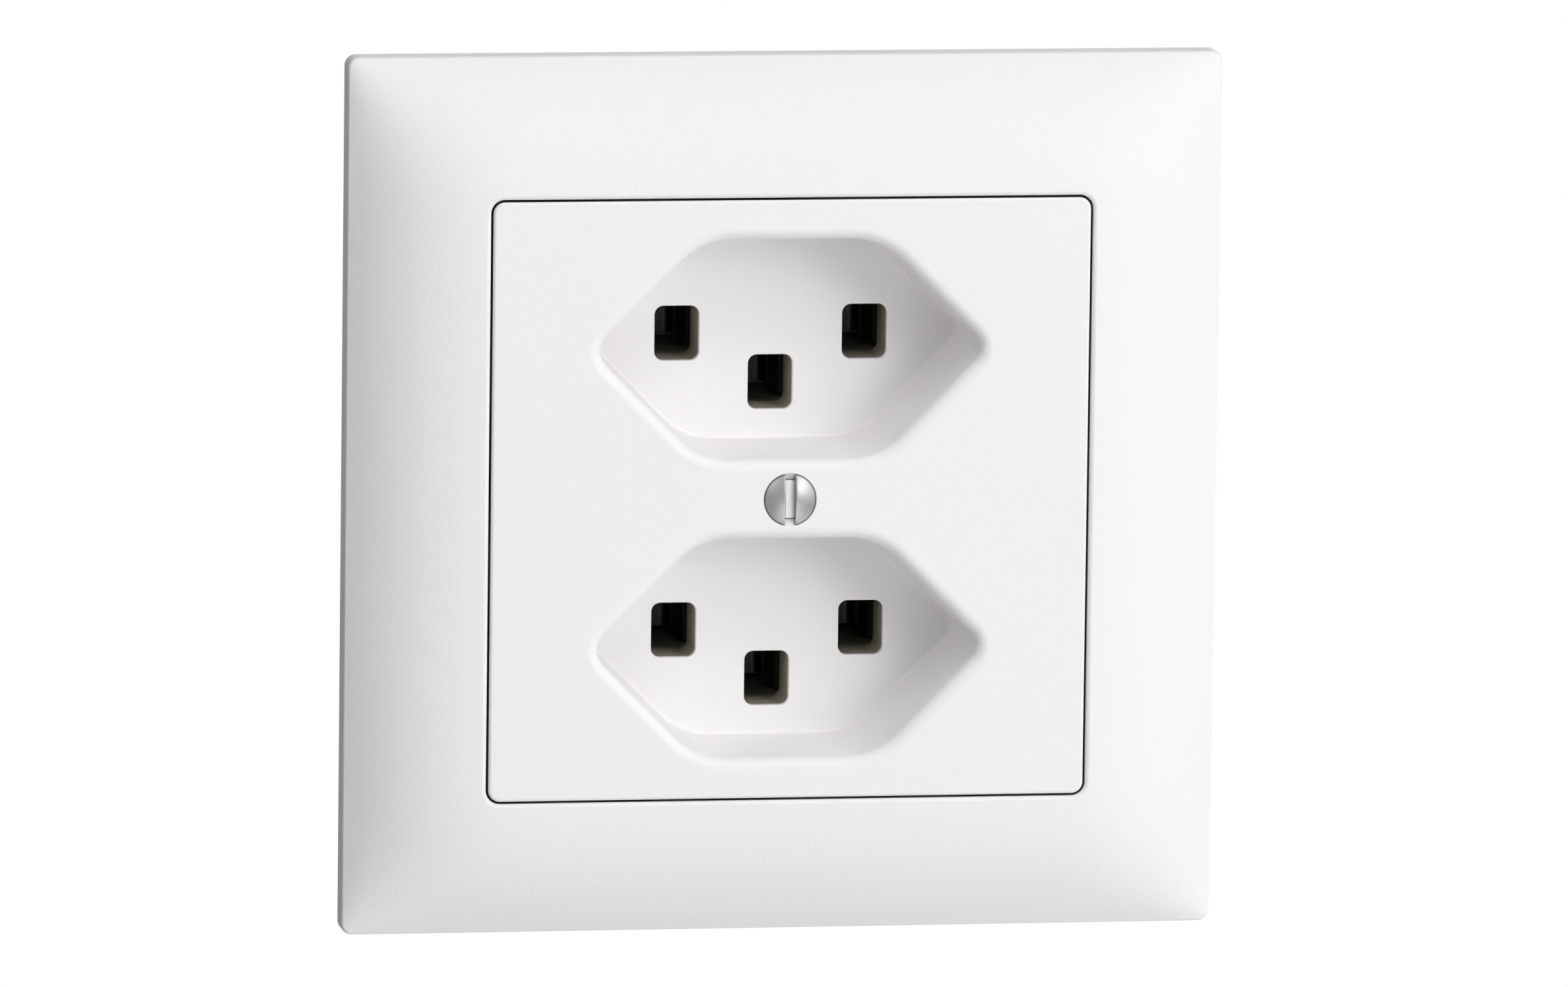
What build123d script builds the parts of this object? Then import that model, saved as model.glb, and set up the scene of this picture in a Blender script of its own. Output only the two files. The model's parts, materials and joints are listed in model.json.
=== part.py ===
from build123d import *
import os
from math import radians, sqrt, tan

# Double wall socket: a cover frame and a front plate with two plug recesses, on a contact base
# that hangs behind a steel mounting plate in the wall box.
# Millimetres, +Z up, +Y into the wall. The origin is the middle of the frame's rear rim.
# A height is a distance from the wall plane towards the room, and is negative inside the wall.

# Cover frame
frame_width = 88.0
frame_edge_height = 2.6
frame_wall = 2.0
frame_skin = 2.0
frame_corner_radius = 1.1
frame_edge_radius = 0.4
frame_lip_radius = 0.4
face_curve_power = 2.7
face_margin = 0.3
face_overrun = 4.2
face_steps = 14
ledge_width = 1.2
ledge_thickness = 1.5
ledge_wall = 1.6
rib_thickness = 1.2
rib_clearance = 0.5
rib_spread = 36.0

# Front plate
plate_width = 60.0
plate_height = 7.5
plate_thickness = 2.0
plate_corner_radius = 1.15
plate_edge_radius = 0.3
plate_gap = 0.22
skirt_wall = 1.2
skirt_depth = 2.5
skirt_clearance = 0.3

# Plug pins and recesses
pin_pitch = 19.0
earth_drop = 5.0
pin_width = 4.0
pin_height = 5.0
pin_length = 19.0
pin_clearance = 0.25
pin_hole_radius = 0.9
pin_rim_radius = 0.15
recess_depth = 13.0
recess_margin = 4.35
recess_shoulder = 8.75
recess_shoulder_radius = 7.0
recess_tip_radius = 1.6
recess_draft = 1.7
mouth_radius = 1.2
floor_radius = 0.35
cup_wall = 1.6
cup_floor = 2.0
pin_hole_skin = 0.6

# Centre screw and its bush
screw_diameter = 3.0
screw_head_diameter = 5.3
screw_crown = 0.55
screw_slot_width = 1.0
screw_slot_depth = 0.9
screw_grip = 6.0
screw_hole_clearance = 0.2
screw_seat_clearance = 0.05
boss_wall = 1.6
bush_wall = 1.25
bush_length = 7.0

# Mounting plate
sheet_width = 74.0
sheet_thickness = 1.2
sheet_corner_radius = 5.0
box_screw_pitch = 60.0
box_slot_width = 4.2
box_slot_length = 7.0
plate_rivet_diameter = 2.4
plate_rivet_head = 4.2
plate_rivet_head_height = 0.8
plate_rivet_depth = 6.0
plate_rivet_edge = 4.6

# Contact base and rear cover
tub_clearance = 0.6
tub_wall = 1.8
tub_corner_radius = 3.0
base_step = 1.4
base_step_depth = 13.0
sleeve_wall = 1.1
sleeve_bore_clearance = 0.05
tub_floor_gap = 2.4
chamber_front_wall = 1.5
chamber_clearance = 0.4
contact_setback = 4.0
fit_clearance = 0.1
press_clearance = 0.02
rear_cover_thickness = 3.4
rear_cover_radius = 0.8
port_radius = 2.0
port_funnel = 0.6
release_width = 2.6
release_height = 1.2
release_offset = 3.4
rear_screw_diameter = 2.6
rear_screw_head = 4.8
rear_screw_length = 8.0
rear_screw_slot = 0.7
rear_screw_inset = 3.6
rear_screw_seat = 1.8

# Contacts, rails and clamps
contact_thickness = 0.7
contact_width = 5.2
contact_preload = 0.25
contact_mouth = 0.5
contact_root = 0.6
contact_lip = 2.2
contact_bend = 0.9
pin_tip_gap = 0.5
rail_width = 6.0
rail_thickness = 1.0
rail_end = 2.8
flange_thickness = 0.9
flange_height = 9.0
flange_margin = 0.3
flange_bend = 0.5
contact_rivet_diameter = 1.8
contact_rivet_head = 3.2
contact_rivet_head_height = 0.4
terminal_pitch = 9.2
clamp_thickness = 0.4
clamp_width = 4.8
clamp_depth = 6.4
clamp_length = 10.0
clamp_bend = 1.0
clamp_tip_gap = 0.15
clamp_tip_drop = 2.0
clamp_heel = 2.6

# Places that follow from the sizes above
frame_opening = plate_width + 2 * plate_gap
face_run = (frame_width - frame_opening) / 2
face_rise = plate_height - frame_edge_height
face_reach = face_margin + face_run + face_overrun
plate_back = plate_height - plate_thickness
ledge_opening = plate_width - 2 * ledge_width
skirt_width = ledge_opening - 2 * skirt_clearance
socket_pitch = plate_width / 2
recess_half_height = socket_pitch / 2 - recess_margin
recess_tip = recess_half_height + recess_shoulder
floor_height = plate_height - recess_depth
cup_back = floor_height - cup_floor
pin_hole_width = pin_width + 2 * pin_clearance
pin_hole_height = pin_height + 2 * pin_clearance
pole_x = pin_pitch / 2
draft_slope = tan(radians(recess_draft))
mouth_grow = draft_slope * recess_depth

rib_bottom = sheet_thickness + rib_clearance
tub_floor = cup_back - tub_floor_gap
sleeve_front = floor_height - pin_hole_skin - fit_clearance
sleeve_bore_width = pin_hole_width + 2 * sleeve_bore_clearance
sleeve_bore_height = pin_hole_height + 2 * sleeve_bore_clearance
sleeve_width = sleeve_bore_width + 2 * sleeve_wall
sleeve_height = sleeve_bore_height + 2 * sleeve_wall
sleeve_radius = pin_hole_radius + sleeve_wall
tub_grow = mouth_grow + cup_wall + tub_clearance
tub_half_width = recess_tip + tub_grow * sqrt(2) - recess_tip_radius * (sqrt(2) - 1)
tub_half_height = socket_pitch / 2 + recess_half_height + tub_grow
tub_corner = tub_half_width + recess_half_height + tub_grow - recess_tip - tub_grow * sqrt(2)
base_half_width = tub_half_width + tub_wall
base_half_height = tub_half_height + tub_wall
chamber_front = tub_floor - chamber_front_wall
contact_back = floor_height - pin_length - pin_tip_gap - contact_thickness
rail_back = contact_back - rail_thickness
base_back = rail_back - fit_clearance
cover_back = base_back - rear_cover_thickness
contact_front = chamber_front - contact_setback
contact_outer = pin_width + 2 * max(contact_mouth, contact_root) + 2 * contact_thickness
clamp_back = base_back + fit_clearance
clamp_front = clamp_back + clamp_length
pole_rail_length = socket_pitch + 2 * rail_end
rear_half_width = base_half_width - base_step
rear_half_height = base_half_height - base_step

screw_radius = screw_diameter / 2
screw_head_radius = screw_head_diameter / 2
boss_radius = screw_radius + screw_hole_clearance + boss_wall
bush_bore = screw_radius + screw_seat_clearance
bush_radius = bush_bore + bush_wall
screw_tip = tub_floor - screw_grip

pole_flange_face = pole_x + rail_width / 2 + flange_thickness
earth_flange_face = socket_pitch / 2 + rail_end + 4 * flange_margin + flange_thickness
flange_toe = flange_bend + fit_clearance
port_offset = port_radius + fit_clearance
terminal_half = terminal_pitch / 2
flange_half = terminal_half + clamp_width / 2 + flange_margin
earth_rail_bottom = -socket_pitch / 2 - earth_drop - rail_end
earth_rail_length = earth_flange_face - earth_rail_bottom
earth_rail_middle = (earth_flange_face + earth_rail_bottom) / 2

plate_rivet_x = base_half_width - plate_rivet_edge
plate_rivet_z = base_half_height - plate_rivet_edge
rear_screw_x = rear_half_width - rear_screw_inset
rear_screw_z = rear_half_height - rear_screw_inset

sockets = {"upper": socket_pitch / 2, "lower": -socket_pitch / 2}
pins = {"left": (-pole_x, 0.0), "right": (pole_x, 0.0), "earth": (0.0, -earth_drop)}
contact_places = {
    f"{socket}_{pin}": (x, socket_z + z)
    for socket, socket_z in sockets.items()
    for pin, (x, z) in pins.items()
}
corner_signs = [(-1, -1), (-1, 1), (1, -1), (1, 1)]
rear_screw_places = [(x * rear_screw_x, z * rear_screw_z) for x, z in corner_signs]
plate_rivet_places = [(x * plate_rivet_x, z * plate_rivet_z) for x, z in corner_signs]
flanges = {
    "left": (-pole_flange_face, 0.0, (-1, 0, 0)),
    "right": (pole_flange_face, 0.0, (1, 0, 0)),
    "earth": (0.0, earth_flange_face, (0, 0, 1)),
}
terminals = {
    "left_clamp_upper": (-pole_flange_face, terminal_half, (-1, 0, 0)),
    "left_clamp_lower": (-pole_flange_face, -terminal_half, (-1, 0, 0)),
    "right_clamp_upper": (pole_flange_face, terminal_half, (1, 0, 0)),
    "right_clamp_lower": (pole_flange_face, -terminal_half, (1, 0, 0)),
    "earth_clamp_left": (-terminal_half, earth_flange_face, (0, 0, 1)),
    "earth_clamp_right": (terminal_half, earth_flange_face, (0, 0, 1)),
}
port_places = [
    (x + outward[0] * port_offset, z + outward[2] * port_offset) for x, z, outward in terminals.values()
]
pole_release_places = [(x + release_offset * (1 if x > 0 else -1), z) for x, z in port_places[:4]]
earth_release_places = [(x, z + release_offset) for x, z in port_places[4:]]


def level(height, x=0.0, z=0.0):
    """Plane parallel to the wall at a height, facing the room, centred on x and z."""
    return Plane(origin=(x, -height, z), x_dir=(1, 0, 0), z_dir=(0, -1, 0))


def axial(x, z, outward=(1, 0, 0)):
    """Plane through a line square to the wall: its x runs outward and its y is height."""
    return Plane(origin=(x, 0, z), x_dir=outward, z_dir=Vector(outward).cross(Vector(0, -1, 0)))


def bulge(inset):
    """Share of the face's rise at a distance in from one edge of the frame: steep, then nearly level."""
    return 1 - (1 - min((inset + face_margin) / face_reach, 1)) ** face_curve_power


def face_height(x, z):
    """Height of the frame's face, where the rises from its two nearest edges melt into each other."""
    across, up = (bulge(frame_width / 2 - abs(side)) for side in (x, z))
    joined = across * up / max(across + up - across * up, 1e-9)
    return frame_edge_height + face_rise * (joined - bulge(0)) / (bulge(face_run) - bulge(0))


def face_surface(drop):
    """Surface of the frame's face, a little wider than the frame and lowered by a drop."""
    half = frame_width / 2 + face_margin
    right = [half * (1 - (step / face_steps) ** 2) for step in range(face_steps)]
    lines = [-x for x in right] + [0] + right[::-1]
    grid = [[(x, drop - face_height(x, z), z) for z in lines] for x in lines]
    return Face.make_surface_from_array_of_points(grid, tol=0.002)


def recess_outline(grow):
    """Six-sided recess outline, grown outwards, with its shoulders and tips rounded."""
    half_height = recess_half_height + grow
    tip = recess_tip + grow * sqrt(2)
    shoulder = tip - half_height
    Polygon(
        (tip, 0),
        (shoulder, half_height),
        (-shoulder, half_height),
        (-tip, 0),
        (-shoulder, -half_height),
        (shoulder, -half_height),
        align=None,
    )
    rows = vertices().group_by(Axis.Y)
    fillet(rows[0] + rows[-1], recess_shoulder_radius + grow)
    columns = vertices().group_by(Axis.X)
    fillet(columns[0] + columns[-1], recess_tip_radius + grow)


def tub_outline(mode=Mode.ADD):
    """Eight-sided window round both recess cups, with its corners cut along their slanted sides."""
    long_side = tub_half_height - tub_corner
    short_side = tub_half_width - tub_corner
    Polygon(
        (tub_half_width, long_side),
        (short_side, tub_half_height),
        (-short_side, tub_half_height),
        (-tub_half_width, long_side),
        (-tub_half_width, -long_side),
        (-short_side, -tub_half_height),
        (short_side, -tub_half_height),
        (tub_half_width, -long_side),
        align=None,
        mode=mode,
    )


def flange_outline():
    """Section of a rail's flange and the toe it is bent up from, with the bend rounded."""
    Polygon(
        (-flange_thickness - flange_toe, rail_back),
        (0, rail_back),
        (0, rail_back + flange_height),
        (-flange_thickness, rail_back + flange_height),
        (-flange_thickness, contact_back),
        (-flange_thickness - flange_toe, contact_back),
        align=None,
    )
    fillet(vertices().sort_by_distance((-flange_thickness, contact_back))[0], flange_bend)
    fillet(vertices().sort_by_distance((0, rail_back))[0], flange_bend + flange_thickness)


def keep(piece, name):
    """Label a finished piece and write it to its own file."""
    piece.part.label = name
    export_step(piece.part, f"parts/{name}.step")


os.makedirs("parts", exist_ok=True)

# Rib outline behind the frame's face, from the ledge to the outer wall, with its back in the skin
rib_outer = (frame_width - frame_wall) / 2
rib_inner = (frame_opening + ledge_wall) / 2
rib_places = [rib_outer + (rib_inner - rib_outer) * share for share in (0, 0.2, 0.5, 1)]
rib_corners = [(x, rib_bottom) for x in (rib_inner, rib_outer)]
rib_corners += [(x, face_height(x, 0) - frame_skin / 2) for x in rib_places]

# Hollow behind the frame's face
with BuildPart() as frame_hollow:
    with BuildSketch(level(0)):
        hollow_width = frame_width - 2 * frame_wall
        RectangleRounded(hollow_width, hollow_width, frame_corner_radius)
    extrude(amount=2 * plate_height)
    split(bisect_by=face_surface(frame_skin), keep=Keep.BOTTOM)

# Cover frame: a pillow-shaped shell with an opening, a ledge under the plate's edge and ribs behind
with BuildPart() as cover_frame:
    with BuildSketch(level(0)):
        RectangleRounded(frame_width, frame_width, frame_corner_radius)
    extrude(amount=2 * plate_height)
    split(bisect_by=face_surface(0), keep=Keep.BOTTOM)
    add(frame_hollow.part, mode=Mode.SUBTRACT)
    with BuildSketch(level(plate_back - ledge_thickness)):
        ledge_outer = frame_opening + 2 * ledge_wall
        RectangleRounded(ledge_outer, ledge_outer, plate_corner_radius + ledge_wall)
    extrude(amount=ledge_thickness + frame_skin / 4)
    with BuildSketch(level(plate_back)):
        RectangleRounded(frame_opening, frame_opening, plate_corner_radius + plate_gap)
    extrude(amount=plate_height, mode=Mode.SUBTRACT)
    with BuildSketch(level(plate_back)):
        RectangleRounded(ledge_opening, ledge_opening, plate_corner_radius)
    extrude(amount=-plate_height, mode=Mode.SUBTRACT)
    opening_edges = edges().filter_by_position(Axis.Y, -plate_height - 1, -plate_height + 1)
    fillet(opening_edges, frame_lip_radius)
    rim_edges = edges().filter_by_position(Axis.Y, -frame_edge_height - 0.1, -frame_edge_height + 0.1)
    fillet(rim_edges, frame_edge_radius)
    for outward in ((1, 0, 0), (-1, 0, 0), (0, 0, 1), (0, 0, -1)):
        for along in (-rib_spread / 2, rib_spread / 2):
            with BuildSketch(axial(abs(outward[2]) * along, abs(outward[0]) * along, outward)):
                Polygon(*rib_corners, align=None)
            extrude(amount=rib_thickness / 2, both=True)
keep(cover_frame, "cover_frame")

# Front plate: a panel with two drafted cups, pockets for the base's sleeves and a central screw boss
with BuildPart() as front_plate:
    with BuildSketch(level(plate_height)):
        RectangleRounded(plate_width, plate_width, plate_corner_radius)
    extrude(amount=-plate_thickness)
    fillet(faces().sort_by(Axis.Y)[0].edges(), plate_edge_radius)
    with BuildSketch(level(plate_back)):
        RectangleRounded(skirt_width, skirt_width, plate_corner_radius)
        inner_width = skirt_width - 2 * skirt_wall
        RectangleRounded(inner_width, inner_width, plate_corner_radius, mode=Mode.SUBTRACT)
    extrude(amount=-skirt_depth)
    with BuildSketch(level(plate_back)):
        Circle(boss_radius)
    extrude(amount=tub_floor - plate_back)
    for socket_z in sockets.values():
        with BuildSketch(level(plate_back, 0, socket_z)):
            recess_outline(mouth_grow - draft_slope * plate_thickness + cup_wall)
        with BuildSketch(level(cup_back, 0, socket_z)):
            recess_outline(cup_wall - draft_slope * cup_floor)
        loft(ruled=True)
    for socket_z in sockets.values():
        with BuildSketch(level(plate_height, 0, socket_z)):
            recess_outline(mouth_grow)
        with BuildSketch(level(floor_height, 0, socket_z)):
            recess_outline(0)
        loft(ruled=True, mode=Mode.SUBTRACT)
    mouths = faces().sort_by(Axis.Y)[0].inner_wires()
    fillet([edge for mouth in mouths for edge in mouth.edges()], mouth_radius)
    floors = faces().filter_by(Axis.Y).filter_by_position(Axis.Y, -floor_height - 0.01, -floor_height + 0.01)
    fillet(floors.edges(), floor_radius)
    for x, z in contact_places.values():
        with BuildSketch(level(floor_height, x, z)):
            RectangleRounded(pin_hole_width, pin_hole_height, pin_hole_radius)
        extrude(amount=-cup_floor, mode=Mode.SUBTRACT)
    floors = faces().filter_by(Axis.Y).filter_by_position(Axis.Y, -floor_height - 0.01, -floor_height + 0.01)
    rims = [edge for floor in floors for wire in floor.inner_wires() for edge in wire.edges()]
    fillet(rims, pin_rim_radius)
    with BuildSketch(level(cup_back)):
        with Locations(*contact_places.values()):
            RectangleRounded(
                sleeve_width + 2 * fit_clearance,
                sleeve_height + 2 * fit_clearance,
                sleeve_radius + fit_clearance,
            )
    extrude(amount=cup_floor - pin_hole_skin, mode=Mode.SUBTRACT)
    with BuildSketch(level(plate_height)):
        Circle(screw_radius + screw_hole_clearance)
    extrude(amount=tub_floor - plate_height, mode=Mode.SUBTRACT)
    with BuildSketch(Plane.XY):
        seat_radius = screw_head_radius + screw_seat_clearance
        Polygon(
            (0, -plate_height),
            (seat_radius, -plate_height),
            (0, -plate_height + seat_radius),
            align=None,
        )
    revolve(axis=Axis.Y, mode=Mode.SUBTRACT)
keep(front_plate, "front_plate")

# Centre screw: raised countersunk head with a straight slot, upright when tight
with BuildPart() as centre_screw:
    with BuildSketch(Plane.XY):
        with BuildLine():
            crown = (0, -plate_height - screw_crown)
            rim = (screw_head_radius, -plate_height)
            neck = (screw_radius, -plate_height + screw_head_radius - screw_radius)
            crown_radius = (screw_head_radius**2 + screw_crown**2) / (2 * screw_crown)
            RadiusArc(crown, rim, -crown_radius)
            Polyline(rim, neck, (screw_radius, -screw_tip), (0, -screw_tip), crown)
        make_face()
    revolve(axis=Axis.Y)
    with BuildSketch(level(plate_height + screw_crown)):
        Rectangle(screw_slot_width, screw_head_diameter + screw_slot_width)
    extrude(amount=-screw_slot_depth - screw_crown / 2, mode=Mode.SUBTRACT)
keep(centre_screw, "centre_screw")

# Mounting plate: flat steel sheet with a window for the base and two slots for the box screws
with BuildPart() as mounting_plate:
    with BuildSketch(level(0)):
        RectangleRounded(sheet_width, sheet_width, sheet_corner_radius)
        tub_outline(mode=Mode.SUBTRACT)
        with Locations((-box_screw_pitch / 2, 0), (box_screw_pitch / 2, 0)):
            SlotOverall(box_slot_length, box_slot_width, mode=Mode.SUBTRACT)
        with Locations(*plate_rivet_places):
            Circle(plate_rivet_diameter / 2 + press_clearance, mode=Mode.SUBTRACT)
    extrude(amount=sheet_thickness)
keep(mounting_plate, "mounting_plate")

# Plate rivets: one at each corner of the base
with BuildPart() as plate_rivets:
    with BuildSketch(level(sheet_thickness)):
        with Locations(*plate_rivet_places):
            Circle(plate_rivet_head / 2)
    extrude(amount=plate_rivet_head_height)
    fillet(faces().filter_by(Axis.Y).group_by(Axis.Y)[0].edges(), plate_rivet_head_height / 2)
    with BuildSketch(level(sheet_thickness)):
        with Locations(*plate_rivet_places):
            Circle(plate_rivet_diameter / 2)
    extrude(amount=-sheet_thickness - plate_rivet_depth)
keep(plate_rivets, "plate_rivets")

# Contact base: a tub with a sleeve for each pin, on a block with chambers for contacts and clamps
with BuildPart() as contact_base:
    with BuildSketch(level(0)):
        RectangleRounded(2 * base_half_width, 2 * base_half_height, tub_corner_radius)
    extrude(amount=-base_step_depth)
    with BuildSketch(level(-base_step_depth)):
        RectangleRounded(2 * rear_half_width, 2 * rear_half_height, tub_corner_radius)
    extrude(amount=base_back + base_step_depth)
    with BuildSketch(level(0)):
        tub_outline()
    extrude(amount=tub_floor, mode=Mode.SUBTRACT)
    with BuildSketch(level(tub_floor)):
        with Locations(*contact_places.values()):
            RectangleRounded(sleeve_width, sleeve_height, sleeve_radius)
    extrude(amount=sleeve_front - tub_floor)
    with BuildSketch(level(sleeve_front)):
        with Locations(*contact_places.values()):
            RectangleRounded(sleeve_bore_width, sleeve_bore_height, pin_hole_radius)
    extrude(amount=chamber_front - sleeve_front, mode=Mode.SUBTRACT)
    with BuildSketch(level(chamber_front)):
        with Locations(*contact_places.values()):
            Rectangle(contact_outer + 2 * chamber_clearance, contact_width + 2 * chamber_clearance)
    extrude(amount=base_back - chamber_front, mode=Mode.SUBTRACT)
    with BuildSketch(level(contact_back)):
        for x in (-pole_x, pole_x):
            with Locations((x, 0)):
                Rectangle(rail_width + 2 * fit_clearance, pole_rail_length + 2 * fit_clearance)
        with Locations((0, earth_rail_middle)):
            Rectangle(rail_width + 2 * fit_clearance, earth_rail_length + 2 * fit_clearance)
    extrude(amount=base_back - contact_back, mode=Mode.SUBTRACT)
    for x, z, outward in flanges.values():
        with BuildSketch(axial(x, z, outward)):
            Polygon(
                (-flange_thickness - flange_toe - fit_clearance, base_back),
                (0, base_back),
                (0, rail_back + flange_height + fit_clearance),
                (-flange_thickness - fit_clearance, rail_back + flange_height + fit_clearance),
                (-flange_thickness - fit_clearance, contact_back + flange_toe),
                (-flange_thickness - flange_toe - fit_clearance, contact_back),
                align=None,
            )
        extrude(amount=flange_half + fit_clearance, both=True, mode=Mode.SUBTRACT)
    for x, z, outward in terminals.values():
        with BuildSketch(axial(x, z, outward)):
            Polygon(
                (-fit_clearance, base_back),
                (clamp_depth + fit_clearance, base_back),
                (clamp_depth + fit_clearance, clamp_front + fit_clearance),
                (-fit_clearance, clamp_front + fit_clearance),
                align=None,
            )
        extrude(amount=clamp_width / 2 + fit_clearance, both=True, mode=Mode.SUBTRACT)
    with BuildSketch(level(tub_floor)):
        Circle(bush_radius + press_clearance)
    extrude(amount=-bush_length - fit_clearance, mode=Mode.SUBTRACT)
    with BuildSketch(level(0)):
        with Locations(*plate_rivet_places):
            Circle(plate_rivet_diameter / 2 + press_clearance)
    extrude(amount=-plate_rivet_depth - fit_clearance, mode=Mode.SUBTRACT)
    with BuildSketch(level(base_back)):
        with Locations(*rear_screw_places):
            Circle(rear_screw_diameter / 2 + press_clearance)
    extrude(amount=rear_screw_length, mode=Mode.SUBTRACT)
keep(contact_base, "contact_base")

# Threaded bush: turned brass, flush with the floor of the tub
with BuildPart() as threaded_bush:
    with BuildSketch(level(tub_floor - fit_clearance)):
        Circle(bush_radius)
        Circle(bush_bore, mode=Mode.SUBTRACT)
    extrude(amount=-bush_length)
keep(threaded_bush, "threaded_bush")

# Spring contacts: a bent strip whose two leaves pinch the pin and flare at the mouth
for name, (x, z) in contact_places.items():
    with BuildPart() as contact:
        with BuildSketch(axial(x, z)):
            with BuildLine():
                pinch = pin_width / 2 - contact_preload
                root = pin_width / 2 + contact_root
                mouth = pin_width / 2 + contact_mouth
                bridge_front = contact_back + contact_thickness
                FilletPolyline(
                    (-mouth, contact_front),
                    (-pinch, contact_front - contact_lip),
                    (-root, bridge_front),
                    (root, bridge_front),
                    (pinch, contact_front - contact_lip),
                    (mouth, contact_front),
                    radius=contact_bend,
                )
                offset(amount=contact_thickness, side=Side.RIGHT)
            make_face()
        extrude(amount=contact_width / 2, both=True)
        with BuildSketch(level(contact_back, x, z)):
            Circle(contact_rivet_diameter / 2 + press_clearance)
        extrude(amount=contact_thickness, mode=Mode.SUBTRACT)
    keep(contact, f"{name}_contact")

# Pole rails: a flat strip behind two contacts, with a flange bent forward at the wire terminals
for side, x in (("left", -pole_x), ("right", pole_x)):
    with BuildPart() as pole_rail:
        with BuildSketch(level(contact_back)):
            with Locations((x, 0)):
                Rectangle(rail_width, pole_rail_length)
            with Locations(*[(x, socket_z) for socket_z in sockets.values()]):
                Circle(contact_rivet_diameter / 2 + press_clearance, mode=Mode.SUBTRACT)
        extrude(amount=-rail_thickness)
        flange_x, flange_z, outward = flanges[side]
        with BuildSketch(axial(flange_x, flange_z, outward)):
            flange_outline()
        extrude(amount=flange_half, both=True)
    keep(pole_rail, f"{side}_pole_rail")

# Earth rail: a flat strip behind both earth contacts, with its flange above the upper socket
with BuildPart() as earth_rail:
    with BuildSketch(level(contact_back)):
        with Locations((0, earth_rail_middle)):
            Rectangle(rail_width, earth_rail_length)
        with Locations(*[(0, socket_z - earth_drop) for socket_z in sockets.values()]):
            Circle(contact_rivet_diameter / 2 + press_clearance, mode=Mode.SUBTRACT)
    extrude(amount=-rail_thickness)
    flange_x, flange_z, outward = flanges["earth"]
    with BuildSketch(axial(flange_x, flange_z, outward)):
        flange_outline()
    extrude(amount=flange_half, both=True)
keep(earth_rail, "earth_rail")

# Contact rivets: one through each contact and its rail
with BuildPart() as contact_rivets:
    with BuildSketch(level(contact_back + contact_thickness)):
        with Locations(*contact_places.values()):
            Circle(contact_rivet_head / 2)
    extrude(amount=contact_rivet_head_height)
    with BuildSketch(level(contact_back + contact_thickness)):
        with Locations(*contact_places.values()):
            Circle(contact_rivet_diameter / 2)
    extrude(amount=-contact_thickness - rail_thickness)
    with BuildSketch(level(rail_back)):
        with Locations(*contact_places.values()):
            Circle(contact_rivet_head / 2)
    extrude(amount=-contact_rivet_head_height)
keep(contact_rivets, "contact_rivets")

# Wire clamps: a leaf spring with one leg on its chamber wall and one slanting to the rail's flange
for name, (x, z, outward) in terminals.items():
    with BuildPart() as clamp:
        with BuildSketch(axial(x, z, outward)):
            with BuildLine():
                heel = clamp_depth - clamp_heel
                FilletPolyline(
                    (clamp_depth, clamp_front),
                    (clamp_depth, clamp_back),
                    (heel, clamp_back),
                    (clamp_tip_gap, clamp_front - clamp_tip_drop),
                    radius=clamp_bend,
                )
                offset(amount=clamp_thickness, side=Side.RIGHT)
            make_face()
        extrude(amount=clamp_width / 2, both=True)
    keep(clamp, name)

# Rear cover: closes the base behind the rails, with a funnelled port and a release slot for each wire
with BuildPart() as rear_cover:
    with BuildSketch(level(base_back)):
        RectangleRounded(2 * rear_half_width, 2 * rear_half_height, tub_corner_radius)
    extrude(amount=-rear_cover_thickness)
    fillet(faces().sort_by(Axis.Y)[-1].edges(), rear_cover_radius)
    with BuildSketch(level(base_back)):
        with Locations(*contact_places.values()):
            Circle(contact_rivet_head / 2 + fit_clearance)
    extrude(amount=-contact_rivet_head_height, mode=Mode.SUBTRACT)
    with BuildSketch(level(base_back)):
        with Locations(*port_places):
            Circle(port_radius)
        with Locations(*rear_screw_places):
            Circle(rear_screw_diameter / 2 + fit_clearance)
        with Locations(*pole_release_places):
            RectangleRounded(release_height, release_width, release_height / 4)
        with Locations(*earth_release_places):
            RectangleRounded(release_width, release_height, release_height / 4)
    extrude(amount=-rear_cover_thickness, mode=Mode.SUBTRACT)
    back_circles = edges().filter_by(GeomType.CIRCLE).filter_by_position(Axis.Y, -cover_back, -cover_back)
    ports = [edge for edge in back_circles if abs(edge.radius - port_radius) < fit_clearance / 2]
    chamfer(ports, port_funnel)
    with BuildSketch(level(cover_back)):
        with Locations(*rear_screw_places):
            Circle(rear_screw_head / 2 + fit_clearance)
    extrude(amount=rear_screw_seat, mode=Mode.SUBTRACT)
keep(rear_cover, "rear_cover")

# Rear cover screws: cheese-head screws sunk into the cover
with BuildPart() as rear_cover_screws:
    with BuildSketch(level(cover_back + rear_screw_seat)):
        with Locations(*rear_screw_places):
            Circle(rear_screw_head / 2)
    extrude(amount=-rear_screw_seat)
    with BuildSketch(level(cover_back)):
        with Locations(*rear_screw_places):
            Rectangle(rear_screw_head, rear_screw_slot)
    extrude(amount=rear_screw_seat / 2, mode=Mode.SUBTRACT)
    with BuildSketch(level(cover_back + rear_screw_seat)):
        with Locations(*rear_screw_places):
            Circle(rear_screw_diameter / 2)
    extrude(amount=rear_cover_thickness - rear_screw_seat + rear_screw_length - fit_clearance)
keep(rear_cover_screws, "rear_cover_screws")
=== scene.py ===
import json
import math

import bmesh
import bpy
import numpy as np
from mathutils import Matrix, Vector


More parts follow.
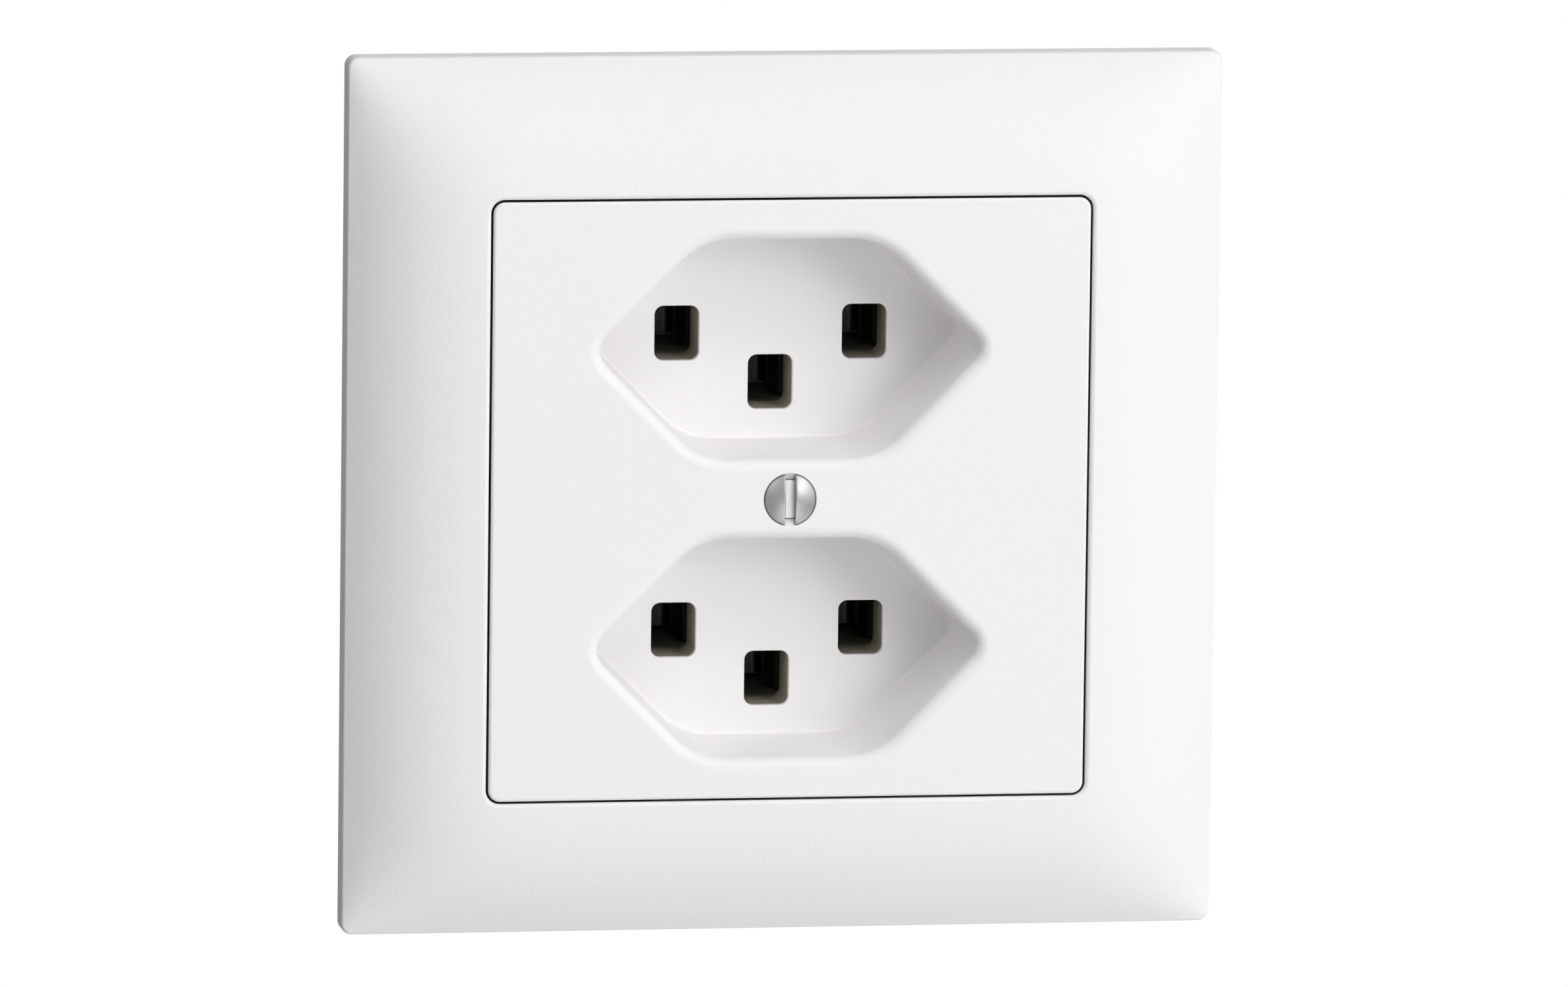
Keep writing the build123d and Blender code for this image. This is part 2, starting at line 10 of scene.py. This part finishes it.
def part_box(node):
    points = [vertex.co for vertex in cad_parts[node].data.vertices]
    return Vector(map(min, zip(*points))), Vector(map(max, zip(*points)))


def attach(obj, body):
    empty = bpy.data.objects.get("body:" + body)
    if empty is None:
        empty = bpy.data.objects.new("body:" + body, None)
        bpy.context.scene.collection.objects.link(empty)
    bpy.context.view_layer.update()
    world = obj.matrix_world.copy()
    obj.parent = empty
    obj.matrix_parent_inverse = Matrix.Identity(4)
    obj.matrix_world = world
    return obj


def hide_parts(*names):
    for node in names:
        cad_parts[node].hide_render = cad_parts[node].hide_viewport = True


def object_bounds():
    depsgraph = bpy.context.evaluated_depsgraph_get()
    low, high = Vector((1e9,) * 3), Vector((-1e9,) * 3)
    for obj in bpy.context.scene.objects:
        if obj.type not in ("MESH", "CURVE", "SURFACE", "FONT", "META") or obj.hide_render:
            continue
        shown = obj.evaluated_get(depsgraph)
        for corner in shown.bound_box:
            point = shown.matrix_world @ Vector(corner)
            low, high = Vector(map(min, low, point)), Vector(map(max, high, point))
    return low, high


# Looks of the double wall socket: finishes for every piece, studio light and the camera.
# Metres, +X to the right, +Y into the wall, +Z up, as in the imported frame.

MM = 0.001

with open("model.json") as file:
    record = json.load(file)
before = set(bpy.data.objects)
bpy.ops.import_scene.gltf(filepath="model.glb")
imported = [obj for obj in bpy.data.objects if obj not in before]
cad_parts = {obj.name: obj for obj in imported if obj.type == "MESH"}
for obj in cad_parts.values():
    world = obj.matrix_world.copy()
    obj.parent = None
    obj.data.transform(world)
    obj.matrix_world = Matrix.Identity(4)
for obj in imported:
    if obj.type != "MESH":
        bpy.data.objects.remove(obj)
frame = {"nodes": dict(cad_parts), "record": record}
cad_low, cad_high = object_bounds()

# The front plate, and where painted shade darkens the joint round it:
# outwards from the plate's outline, and down from its face
plate_low, plate_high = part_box("front_plate")
plate_middle = Vector((0, plate_low.y, 0))
plate_width = plate_high.x - plate_low.x
plate_corner = 1.15 * MM
# Painted shade in the joint: where it starts and stops outwards, and how it deepens downwards
painted_shade_begins = (-0.12 * MM, -0.02 * MM)
painted_shade_ends = (0.24 * MM, 0.34 * MM)
painted_shade_deepens = (0.25 * MM, 0.50 * MM)

# The plate's screw, countersunk with a raised head
screw_low, screw_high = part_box("centre_screw")
head_clearance = 0.04 * MM
plate_screw = {
    "head_radius": screw_high.x - head_clearance,
    "crown": plate_low.y - screw_low.y,
    "slot_width": 1.0 * MM,
    "slot_depth": 0.625 * MM,
    "seat_depth": 1.15 * MM,
    "seat_radius": 1.5 * MM,
    "shank_radius": 1.5 * MM,
    "length": screw_high.y - plate_low.y,
    "thread_start": 11 * MM,
    "thread_depth": 0.27 * MM,
    "pitch": 0.5 * MM,
}

# Where a highlight is painted on that screw down in its slot, and where shade is painted at its rim:
# outwards to the head's cone, and down from the plate's face
slot_painted_light = (0.45 * MM, 0.60 * MM)
rim_painted_shade_outwards = (-0.14 * MM, -0.04 * MM)
rim_painted_shade_clears = (0.7 * MM, 0.9 * MM)

# The rear cover's four screws, flat and straight-sided
rear_low, rear_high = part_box("rear_cover_screws")
rear_head_radius = 2.4 * MM
rear_axis_x = rear_high.x - rear_head_radius
rear_axis_z = rear_high.z - rear_head_radius
rear_screw = {
    "head_radius": rear_head_radius,
    "crown": 0.0,
    "slot_width": 0.7 * MM,
    "slot_depth": 0.9 * MM,
    "seat_depth": 1.8 * MM,
    "seat_radius": rear_head_radius,
    "shank_radius": 1.3 * MM,
    "length": rear_high.y - rear_low.y,
    "thread_start": 4 * MM,
    "thread_depth": 0.3 * MM,
    "pitch": 0.9 * MM,
}

# How both kinds of screw are drawn: the slot's round edge, the thread's run-in and point,
# the steps of the grids, and how their meshes are closed and creased
slot_round = 0.06 * MM
run_in_turns = 2
point_turns = 1.5
point_share = 0.7
half_columns = 18
round_columns = 4
floor_columns = 7
head_rows = 33
rings_per_turn = 6
merge_distance = 0.0005 * MM
crease_angle = math.radians(50)

# Camera, as the photograph shows the plate
image_width = 2408
plate_pixels = 927.75
plate_right_of_middle = 9.75
plate_below_middle = 10.0
view_from = Vector((-0.168, -1, 0.152))
view_distance = 1.60
sensor_width = 36.0

# Soft lamps: degrees to the right of and above the plate's middle, width and power
lamps = {
    "key": (26, 12, 0.38, 2.15),
    "right": (45, 5, 0.5, 0.95),
    "upper_left": (-35, 30, 0.7, 2.35),
    "upper_right": (40, 35, 0.7, 3.05),
    "top": (10, 62, 0.7, 2.65),
    "lower": (10, -30, 0.7, 2.75),
    "low_right": (70, -50, 0.7, 3.35),
    "back_right": (142, -12, 1.6, 6.0),
    "back_low": (150, -42, 1.3, 3.6),
}
lamp_distance = 1.0
ambient_strength = 0.01

# Floor: how far below the socket it lies, its half width, its tone, and where it turns to white
floor_drop = 1.70
floor_half = 6.0
floor_tone = 0.92
floor_fade = (0.6, 1.6)
floor_glow = 0.75


class Value:
    """A node's output. Arithmetic on values adds Math nodes to the same tree."""

    def __init__(self, nodes, socket):
        self.nodes = nodes
        self.socket = socket

    def __add__(self, other):
        return self.nodes.math("ADD", self, other)

    def __radd__(self, other):
        return self.nodes.math("ADD", other, self)

    def __sub__(self, other):
        return self.nodes.math("SUBTRACT", self, other)

    def __rsub__(self, other):
        return self.nodes.math("SUBTRACT", other, self)

    def __mul__(self, other):
        return self.nodes.math("MULTIPLY", self, other)

    def __rmul__(self, other):
        return self.nodes.math("MULTIPLY", other, self)

    def __pow__(self, other):
        return self.nodes.math("POWER", self, other)

    def __abs__(self):
        return self.nodes.math("ABSOLUTE", self)


class Nodes:
    """A node tree. add() makes one node and gives back one of its outputs as a Value."""

    def __init__(self, tree):
        self.tree = tree
        self.tree.nodes.clear()

    def add(self, kind, settings=None, inputs=None, output=0):
        node = self.tree.nodes.new("ShaderNode" + kind)
        for name, setting in (settings or {}).items():
            setattr(node, name, setting)
        for name, value in (inputs or {}).items():
            if isinstance(value, Value):
                self.tree.links.new(value.socket, node.inputs[name])
            else:
                node.inputs[name].default_value = value
        return Value(self, node.outputs[output]) if node.outputs else None

    def math(self, operation, *operands):
        """One step of arithmetic on values and numbers."""
        return self.add("Math", {"operation": operation}, dict(enumerate(operands)))

    def larger(self, first, second):
        """The larger of two at each point."""
        return self.math("MAXIMUM", first, second)

    def place(self, stretch=(1, 1, 1)):
        """The surface point in the frame, scaled along each axis."""
        point = self.add("TexCoord", output="Object")
        return self.add("Mapping", None, {"Vector": point, "Scale": stretch})

    def axes(self):
        """The surface point's x, y and z as three values."""
        split = self.add("SeparateXYZ", None, {"Vector": self.place()})
        return [Value(self, socket) for socket in split.socket.node.outputs]

    def noise(self, size, stretch=(1, 1, 1), detail=2.0, roughness=0.5):
        """Cloudy noise from 0 to 1 whose features are about size metres wide."""
        inputs = {
            "Vector": self.place(stretch),
            "Scale": 1 / size,
            "Detail": detail,
            "Roughness": roughness,
        }
        return self.add("TexNoise", None, inputs)

    def mix(self, share, first, second):
        """First colour where share is 0, second where it is 1.

        Of the node's sockets, 6 and 7 take colours, and output 2 gives one.
        """
        settings = {"data_type": "RGBA"}
        return self.add("Mix", settings, {0: share, 6: first, 7: second}, output=2)

    def ease(self, value, low, high):
        """Smooth step from 0 at low to 1 at high."""
        settings = {"interpolation_type": "SMOOTHSTEP"}
        return self.add("MapRange", settings, {"Value": value, "From Min": low, "From Max": high})

    def bump(self, height, depth):
        """Normal of a surface that is depth metres higher where height is 1."""
        return self.add("Bump", None, {"Height": height, "Distance": depth, "Strength": 1.0})


def finish(name, build):
    """A material whose Principled shader takes the inputs that build() works out."""
    material = bpy.data.materials.new(name)
    material.use_nodes = True
    nodes = Nodes(material.node_tree)
    shader = nodes.add("BsdfPrincipled", None, build(nodes))
    nodes.add("OutputMaterial", None, {"Surface": shader})
    return material


def colour(red, green, blue):
    """A colour that hides what is behind it."""
    return (red, green, blue, 1.0)


def joint_painted_shade(nodes):
    """1 down in the joint between plate and frame, where shade is painted, and 0 elsewhere.

    The distance from the plate's outline is that from a square with rounded corners.
    """
    x, depth, z = nodes.axes()
    straight = plate_high.x - plate_corner
    across, up = (nodes.larger(abs(axis) - straight, 0.0) for axis in (x, z))
    outside = (across * across + up * up) ** 0.5 - plate_corner
    beside = nodes.ease(outside, *painted_shade_begins) - nodes.ease(outside, *painted_shade_ends)
    return beside * nodes.ease(depth - plate_low.y, *painted_shade_deepens)


def white_plastic(nodes):
    """Matt white moulding: fine spark grain, a faint drift in tone, and painted shade in the joint."""
    grain = nodes.noise(0.34 * MM, (1, 1, 0.6), detail=3.0, roughness=0.6)
    drift = nodes.noise(30 * MM, detail=1.0)
    moulded = nodes.mix(drift, colour(0.872, 0.856, 0.864), colour(0.892, 0.878, 0.885))
    # Painted shade: a dark tone put down in the joint between plate and frame
    painted_shade_colour = colour(0.16, 0.155, 0.155)
    return {
        "Base Color": nodes.mix(joint_painted_shade(nodes), moulded, painted_shade_colour),
        "Roughness": 0.46 + 0.16 * grain,
        "Normal": nodes.bump(grain, depth=0.020 * MM),
        "Specular IOR Level": 0.35,
    }


def base_plastic(nodes):
    """Pressed olive grey thermoset: mottled filler and a soft sheen."""
    mottle = nodes.noise(0.9 * MM, detail=4.0, roughness=0.65)
    flow = nodes.noise(9 * MM, (1, 0.4, 1), detail=2.0)
    body = nodes.mix(flow, colour(0.385, 0.37, 0.30), colour(0.445, 0.43, 0.355))
    filler = colour(0.50, 0.485, 0.41)
    speckle = nodes.ease(mottle, low=0.60, high=0.75)
    return {
        "Base Color": nodes.mix(speckle, body, filler),
        "Roughness": 0.40 + 0.22 * mottle,
        "Normal": nodes.bump(mottle, depth=0.02 * MM),
        "Specular IOR Level": 0.45,
    }


def plated_steel(nodes, dull, bright, grain_size, stretch):
    """Plated metal: fine drawn lines along one axis over a cloudy plating."""
    lines = nodes.noise(grain_size, stretch, detail=3.0, roughness=0.7)
    cloud = nodes.noise(7 * MM, detail=2.0)
    shine = nodes.ease(lines + cloud, low=0.7, high=1.3)
    return {
        "Base Color": nodes.mix(shine, dull, bright),
        "Metallic": 1.0,
        "Roughness": 0.26 + 0.16 * lines + 0.10 * cloud,
        "Normal": nodes.bump(lines, depth=0.004 * MM),
    }


def sheet_steel(nodes):
    """Zinc-plated sheet, rolled upright."""
    dull = colour(0.25, 0.26, 0.275)
    bright = colour(0.37, 0.375, 0.385)
    return plated_steel(nodes, dull, bright, grain_size=0.5 * MM, stretch=(1, 1, 0.04))


def rivet_steel(nodes):
    """Zinc-plated rivets, a shade brighter than the sheet."""
    dull = colour(0.42, 0.42, 0.43)
    bright = colour(0.52, 0.52, 0.52)
    return plated_steel(nodes, dull, bright, grain_size=0.4 * MM, stretch=(1, 0.2, 1))


def spring_steel(nodes):
    """Bright spring strip with drawn lines along its bends."""
    dull = colour(0.42, 0.42, 0.43)
    bright = colour(0.54, 0.54, 0.55)
    return plated_steel(nodes, dull, bright, grain_size=0.3 * MM, stretch=(0.06, 0.06, 1))


def turned_steel(nodes, dull, bright, roughness, axis_x, axis_z):
    """Plated screw steel with fine turned rings.

    The rings run round screws that stand square to the wall at +-axis_x, +-axis_z.
    """
    x, _, z = nodes.axes()
    across = abs(x) - axis_x
    up = abs(z) - axis_z
    radius = (across * across + up * up) ** 0.5
    ring_size = 0.09 * MM
    ring_inputs = {"W": radius, "Scale": 1 / ring_size, "Detail": 2.0}
    rings = nodes.add("TexNoise", {"noise_dimensions": "1D"}, ring_inputs)
    grain = nodes.noise(0.12 * MM, detail=2.0)
    cloud = nodes.noise(1.6 * MM, detail=2.0)
    return {
        "Base Color": nodes.mix(cloud, dull, bright),
        "Metallic": 1.0,
        "Roughness": roughness + 0.10 * rings + 0.08 * cloud,
        "Normal": nodes.bump(rings + grain, depth=0.002 * MM),
    }


def nickel_screw(nodes):
    """The plate's screw: satin nickel, with painted light making it paler in the slot and painted shade
    where the head's cone meets the plate.
    """
    dull = colour(0.225, 0.221, 0.217)
    bright = colour(0.268, 0.263, 0.259)
    # Painted highlight: the slot's floor gets a paler colour than the head
    slot_floor_painted_light = colour(0.45, 0.45, 0.445)
    # Painted shade for the gap between the head and the plate
    painted_shade_colour = colour(0.05, 0.05, 0.05)
    inputs = turned_steel(nodes, dull, bright, roughness=0.24, axis_x=0.0, axis_z=0.0)
    x, depth, z = nodes.axes()
    sunk = depth - plate_low.y
    metal = nodes.mix(nodes.ease(sunk, *slot_painted_light), inputs["Base Color"], slot_floor_painted_light)
    head_radius = plate_screw["head_radius"]
    flare = (head_radius - plate_screw["seat_radius"]) / plate_screw["seat_depth"]
    outside = (x * x + z * z) ** 0.5 + flare * nodes.larger(sunk, 0.0) - head_radius
    # Painted shade: a dark ring at the head's edge, fading out down the cone
    rim_painted_shade = nodes.ease(outside, *rim_painted_shade_outwards) * (1 - nodes.ease(sunk, *rim_painted_shade_clears))
    inputs["Base Color"] = nodes.mix(rim_painted_shade, metal, painted_shade_colour)
    return inputs


def zinc_screw(nodes):
    """The rear cover's screws: zinc plating with a pale cloud."""
    dull = colour(0.19, 0.19, 0.195)
    bright = colour(0.27, 0.268, 0.26)
    return turned_steel(nodes, dull, bright, roughness=0.30, axis_x=rear_axis_x, axis_z=rear_axis_z)


def dull_bronze(nodes):
    """Contact strip gone dull: dark grey with faint drawn lines and bronze showing through in clouds."""
    lines = nodes.noise(0.3 * MM, (1, 0.08, 1), detail=3.0, roughness=0.7)
    worn = nodes.ease(nodes.noise(1.8 * MM, detail=3.0), low=0.5, high=0.8)
    return {
        "Base Color": nodes.mix(worn, colour(0.17, 0.165, 0.155), colour(0.16, 0.135, 0.10)),
        "Metallic": 1.0,
        "Roughness": 0.36 + 0.16 * lines,
        "Normal": nodes.bump(lines, depth=0.003 * MM),
    }


def brass(nodes):
    """Rolled brass strip: faint rolling lines and a light tarnish in clouds."""
    lines = nodes.noise(0.35 * MM, (1, 1, 0.05), detail=3.0, roughness=0.7)
    tarnish = nodes.ease(nodes.noise(3.2 * MM, detail=4.0, roughness=0.6), low=0.35, high=0.75)
    return {
        "Base Color": nodes.mix(tarnish, colour(0.80, 0.60, 0.27), colour(0.58, 0.41, 0.18)),
        "Metallic": 1.0,
        "Roughness": 0.24 + 0.14 * lines + 0.14 * tarnish,
        "Normal": nodes.bump(lines, depth=0.003 * MM),
    }


def slotted_screw(
    middle, across, along, head_radius, crown, slot_width, slot_depth,
    seat_depth, seat_radius, shank_radius, length, thread_start, thread_depth, pitch,
):
    """Grids of points for a screw's head and for its side, from the middle of the head's edge.

    Head: a column stands x across the slot and runs along it, z = v sqrt(r^2 - x^2), to the side's
    radius r. Its height is crown (1 - (x^2 + z^2) / r^2), or the slot's floor, with a small round
    between the two.
    Side: the head's edge is carried down to the seat and on as rings, which a cosine wave in depth
    less angle turns into a thread.
    """
    half = slot_width / 2
    flare = (head_radius - seat_radius) / seat_depth
    slot_reach = head_radius - flare * slot_depth

    # Columns from the right edge to the slot, across its floor, and on to the left edge
    turn = np.linspace(0, math.acos((half + slot_round) / head_radius), half_columns)
    corner = np.linspace(0, math.pi / 2, round_columns)[1:]
    right = np.concatenate([head_radius * np.cos(turn), half + slot_round * (1 - np.sin(corner))])
    drop = np.concatenate([0 * turn, slot_round * (1 - np.cos(corner))])
    floor = np.linspace(half, -half, floor_columns)
    x = np.concatenate([right, floor, -right[::-1]])
    fall = np.concatenate([drop, 0 * floor + slot_depth, drop[::-1]])
    raised = np.concatenate([0 * right + crown, 0 * floor, 0 * right + crown])
    reach = head_radius - flare * fall
    z = np.linspace(-1, 1, head_rows)[:, None] * np.sqrt(np.maximum(reach**2 - x**2, 0))
    height = raised * (1 - (x**2 + z**2) / reach**2) - fall
    head = np.stack([x + 0 * z, z, height], -1)

    # Angles round the axis, at the head's edge and below it, where the columns close in to the slot's ends
    angle = np.arccos(np.clip(x / reach, -1, 1))
    lean = math.acos(half / slot_reach) / angle[len(right) - 1]
    leaning = np.where(x > 0, angle * lean, math.pi - (math.pi - angle) * lean)
    below = np.where(raised > 0, leaning, angle)
    round_edge = np.concatenate([angle, -angle[::-1]])
    round_shank = np.concatenate([below, -below[::-1]])

    # Rings down the side, with the thread's wave growing from its start and narrowing to the point
    depth = np.append(seat_depth, np.arange(thread_start, length, pitch / rings_per_turn))
    started = np.clip((depth - thread_start) / (run_in_turns * pitch), 0, 1) * thread_depth
    pointed = np.clip((length - depth) / (point_turns * pitch), 0, 1) * (1 - point_share) + point_share
    wave = (1 - np.cos(2 * math.pi * depth[:, None] / pitch - round_shank)) / 2
    ring_radius = np.array([slot_reach, seat_radius, shank_radius])
    ring_level = np.concatenate([[slot_depth, seat_depth, seat_depth], depth, [length, length]])
    radius = np.concatenate([
        np.concatenate([reach, reach[::-1]])[None],
        ring_radius[:, None] + 0 * round_shank,
        (shank_radius - started[:, None] * wave) * pointed[:, None],
        shank_radius * np.array([[point_share], [0.0]]) + 0 * round_shank,
    ])
    level = np.concatenate([
        np.concatenate([fall, fall[::-1]])[None],
        ring_level[:, None] + 0 * round_shank,
    ])
    turned = np.concatenate([round_edge[None], np.tile(round_shank, (len(radius) - 1, 1))])
    side = np.stack([radius * np.cos(turned), radius * np.sin(turned), -level], -1)

    axes = np.array([across, along, np.cross(across, along)], float)
    return [np.array(middle) + grid @ axes for grid in (head, side)]


def surface_piece(name, grids, material, node):
    """A closed piece that stands for a CAD node.

    Neighbours on each grid are joined to quads, and points that meet are merged.
    """
    points = [grid.reshape(-1, 3) for grid in grids]
    starts = np.cumsum([0] + [len(part) for part in points])
    quads = []
    for grid, start in zip(grids, starts):
        index = start + np.arange(grid.shape[0] * grid.shape[1]).reshape(grid.shape[:2])
        corners = [index[:-1, :-1], index[1:, :-1], index[1:, 1:], index[:-1, 1:]]
        quads.append(np.stack(corners, -1).reshape(-1, 4))
    mesh = bpy.data.meshes.new(name)
    mesh.from_pydata(np.concatenate(points), [], np.concatenate(quads))
    shell = bmesh.new()
    shell.from_mesh(mesh)
    bmesh.ops.remove_doubles(shell, verts=shell.verts, dist=merge_distance)
    bmesh.ops.dissolve_degenerate(shell, edges=shell.edges, dist=merge_distance)
    shell.to_mesh(mesh)
    shell.free()
    mesh.shade_smooth()
    mesh.set_sharp_from_angle(angle=crease_angle)
    mesh.materials.append(material)
    piece = bpy.data.objects.new(name, mesh)
    bpy.context.scene.collection.objects.link(piece)
    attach(piece, "root")
    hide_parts(node)


# Each CAD node takes the finish of its slot, apart from the plate's screw, the contacts and the rails
slot_finishes = {
    build.__name__: finish(build.__name__, build)
    for build in (white_plastic, base_plastic, sheet_steel, rivet_steel, spring_steel, brass)
}
slot_finishes["screw_steel"] = finish("zinc_screw", zinc_screw)
node_finishes = {
    part["node"]: slot_finishes[part["material_slot"]] for part in frame["record"]["subparts"]
}
node_finishes["centre_screw"] = finish("nickel_screw", nickel_screw)
contact_finish = finish("dull_bronze", dull_bronze)
for name, node in frame["nodes"].items():
    if name.endswith(("_contact", "_rail", "contact_rivets")):
        node_finishes[name] = contact_finish
    node.data.materials.clear()
    node.data.materials.append(node_finishes[name])

centre_screw = slotted_screw(plate_middle, (1, 0, 0), (0, 0, 1), **plate_screw)
nickel_finish = node_finishes["centre_screw"]
surface_piece("screw_of_plate", centre_screw, nickel_finish, "centre_screw")

rear_screws = []
for side_x in (-1, 1):
    for side_z in (-1, 1):
        head_middle = (side_x * rear_axis_x, rear_high.y, side_z * rear_axis_z)
        rear_screws += slotted_screw(head_middle, (0, 0, 1), (1, 0, 0), **rear_screw)
zinc_finish = node_finishes["rear_cover_screws"]
surface_piece("screws_of_rear_cover", rear_screws, zinc_finish, "rear_cover_screws")


def seen_directly(nodes):
    """1 for rays from the camera, and for those that metal mirrors or glass lets through."""
    kinds = ("Is Camera Ray", "Is Glossy Ray", "Is Transmission Ray")
    camera, glossy, through = (nodes.add("LightPath", output=kind) for kind in kinds)
    return nodes.larger(nodes.larger(camera, glossy), through)


def white_world():
    """Soft light from all round, and plain white where it is seen directly."""
    world = bpy.data.worlds.new("studio")
    world.use_nodes = True
    nodes = Nodes(world.node_tree)
    soft = nodes.add("Background", None, {"Color": colour(1, 1, 1), "Strength": ambient_strength})
    white = nodes.add("Background", None, {"Color": colour(1, 1, 1), "Strength": 1.0})
    shown = nodes.add("MixShader", None, {0: seen_directly(nodes), 1: soft, 2: white})
    nodes.add("OutputWorld", None, {"Surface": shown})
    bpy.context.scene.world = world


def pale_floor():
    """A level floor far below the socket, pale with a soft shadow, white further out."""
    level = cad_low.z - floor_drop
    sides = (-floor_half, floor_half)
    corners = [(x, y, level) for y in sides for x in sides]
    mesh = bpy.data.meshes.new("floor")
    mesh.from_pydata(corners, [], [(0, 1, 3, 2)])
    floor = bpy.data.objects.new("floor", mesh)
    bpy.context.scene.collection.objects.link(floor)
    material = bpy.data.materials.new("pale_floor")
    material.use_nodes = True
    nodes = Nodes(material.node_tree)
    from_middle = nodes.add("VectorMath", {"operation": "LENGTH"}, {0: nodes.place((1, 1, 0))}, "Value")
    pale = nodes.add("BsdfDiffuse", None, {"Color": colour(floor_tone, floor_tone, floor_tone)})
    white = nodes.add("Emission", None, {"Color": colour(1, 1, 1), "Strength": 1.0})
    glow = floor_glow + (1 - floor_glow) * nodes.ease(from_middle, *floor_fade)
    shown = nodes.add("MixShader", None, {0: glow * seen_directly(nodes), 1: pale, 2: white})
    nodes.add("OutputMaterial", None, {"Surface": shown})
    mesh.materials.append(material)


def soft_lamp(name, right, above, width, power):
    """A square lamp that faces the plate's middle from an angle to its right and above it."""
    turn = math.radians(right)
    lift = math.radians(above)
    level = math.cos(lift)
    direction = Vector((math.sin(turn) * level, -math.cos(turn) * level, math.sin(lift)))
    data = bpy.data.lights.new(name, "AREA")
    data.shape = "SQUARE"
    data.size = width
    data.energy = power
    light = bpy.data.objects.new(name, data)
    light.location = plate_middle + direction * lamp_distance
    light.rotation_mode = "QUATERNION"
    light.rotation_quaternion = (-direction).to_track_quat("-Z", "Y")
    bpy.context.scene.collection.objects.link(light)


def photograph_camera():
    """A long lens from the photograph's side, rolled so that level and upright edges lean alike."""
    data = bpy.data.cameras.new("camera")
    data.sensor_fit = "HORIZONTAL"
    data.sensor_width = sensor_width
    pixel = plate_width / plate_pixels
    aim = plate_middle + Vector((-plate_right_of_middle, 0, plate_below_middle)) * pixel
    back = view_from.normalized()
    data.lens = sensor_width * view_distance / (image_width * pixel)
    level = Vector((1, 0, 0)) - back * back.x
    upright = Vector((0, 0, 1)) - back * back.z
    right = (level.normalized() + upright.normalized().cross(back)).normalized()
    turn = Matrix((right, back.cross(right), back)).transposed()
    camera = bpy.data.objects.new("camera", data)
    camera.matrix_world = Matrix.Translation(aim + back * view_distance) @ turn.to_4x4()
    bpy.context.scene.collection.objects.link(camera)
    bpy.context.scene.camera = camera


white_world()
pale_floor()
for lamp_name, placing in lamps.items():
    soft_lamp(lamp_name, *placing)
photograph_camera()
bpy.context.scene.view_settings.view_transform = "Standard"
